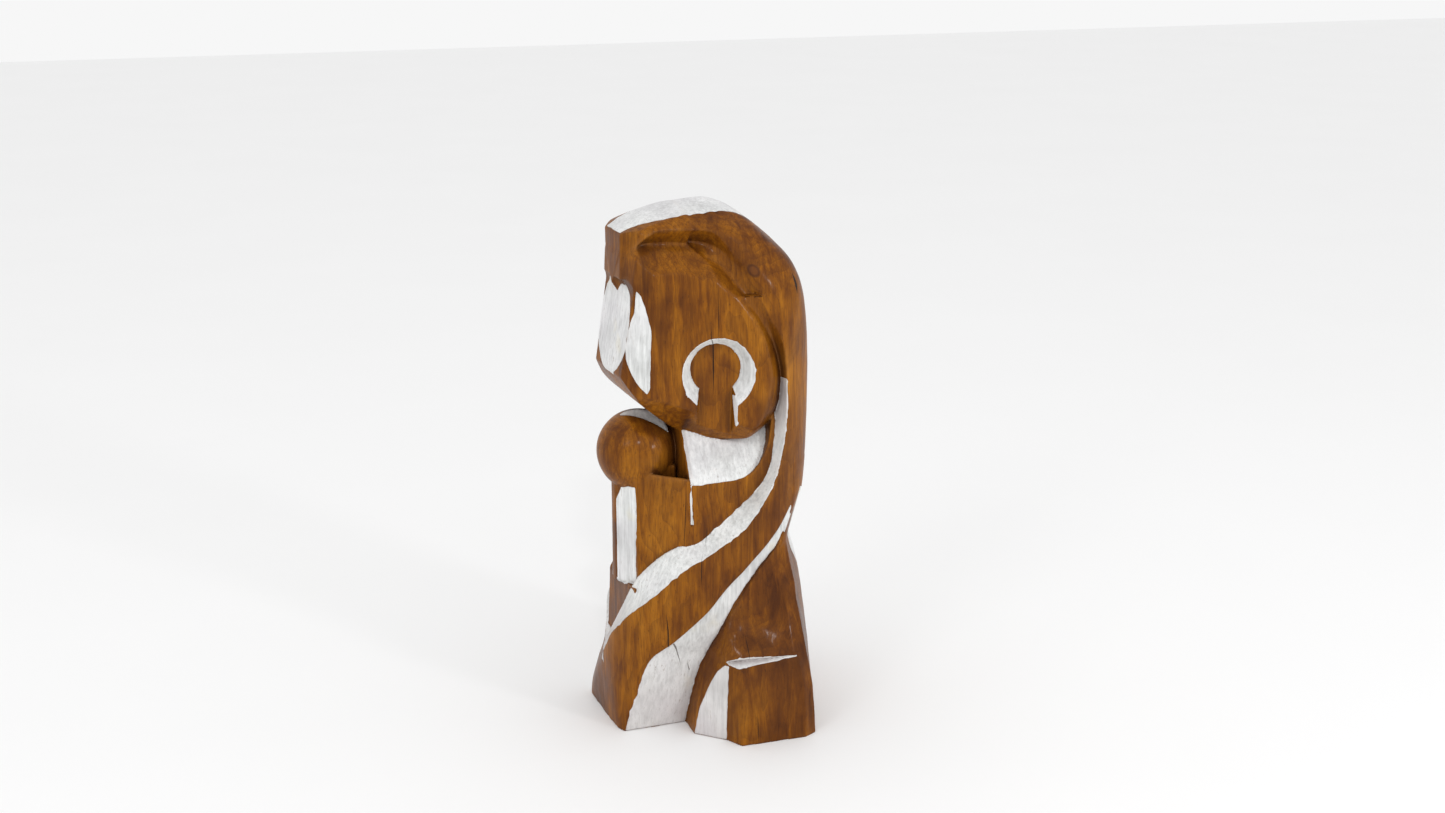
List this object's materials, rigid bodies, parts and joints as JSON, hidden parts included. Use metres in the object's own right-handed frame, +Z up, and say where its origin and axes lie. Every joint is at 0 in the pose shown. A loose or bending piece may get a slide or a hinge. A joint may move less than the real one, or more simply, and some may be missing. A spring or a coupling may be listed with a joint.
{
  "type": "carved wooden figure",
  "caption": "Stylised mother-and-child figure carved from one log, varnished, with white-painted facets and a flat base to stand on.",
  "frame": {"origin": "centre of the bounding box on the face the figure stands on", "axes": "+Z up, the figure faces -Y, its left side is +X"},
  "size_m": [0.18, 0.164, 0.4],
  "materials": {
    "varnished_wood": "gloss",
    "white_paint": "satin"
  },
  "bodies": {
    "root": {"back_panel_paint": "white_paint", "carved_block": "varnished_wood", "child_crown_paint": "white_paint", "crown_paint": "white_paint", "face_paint": "white_paint", "hem_paint": "white_paint", "left_channel_paint": "white_paint", "left_cheek_paint": "white_paint", "left_child_panel_paint": "white_paint", "left_collar_paint": "white_paint", "left_ear_paint": "white_paint", "left_groove_paint": "white_paint", "left_sash_paint": "white_paint", "left_shin_paint": "white_paint", "right_channel_paint": "white_paint", "right_cheek_paint": "white_paint", "right_child_panel_paint": "white_paint", "right_collar_paint": "white_paint", "right_ear_paint": "white_paint", "right_groove_paint": "white_paint", "right_sash_paint": "white_paint", "right_shin_paint": "white_paint"}
  },
  "joints": []
}
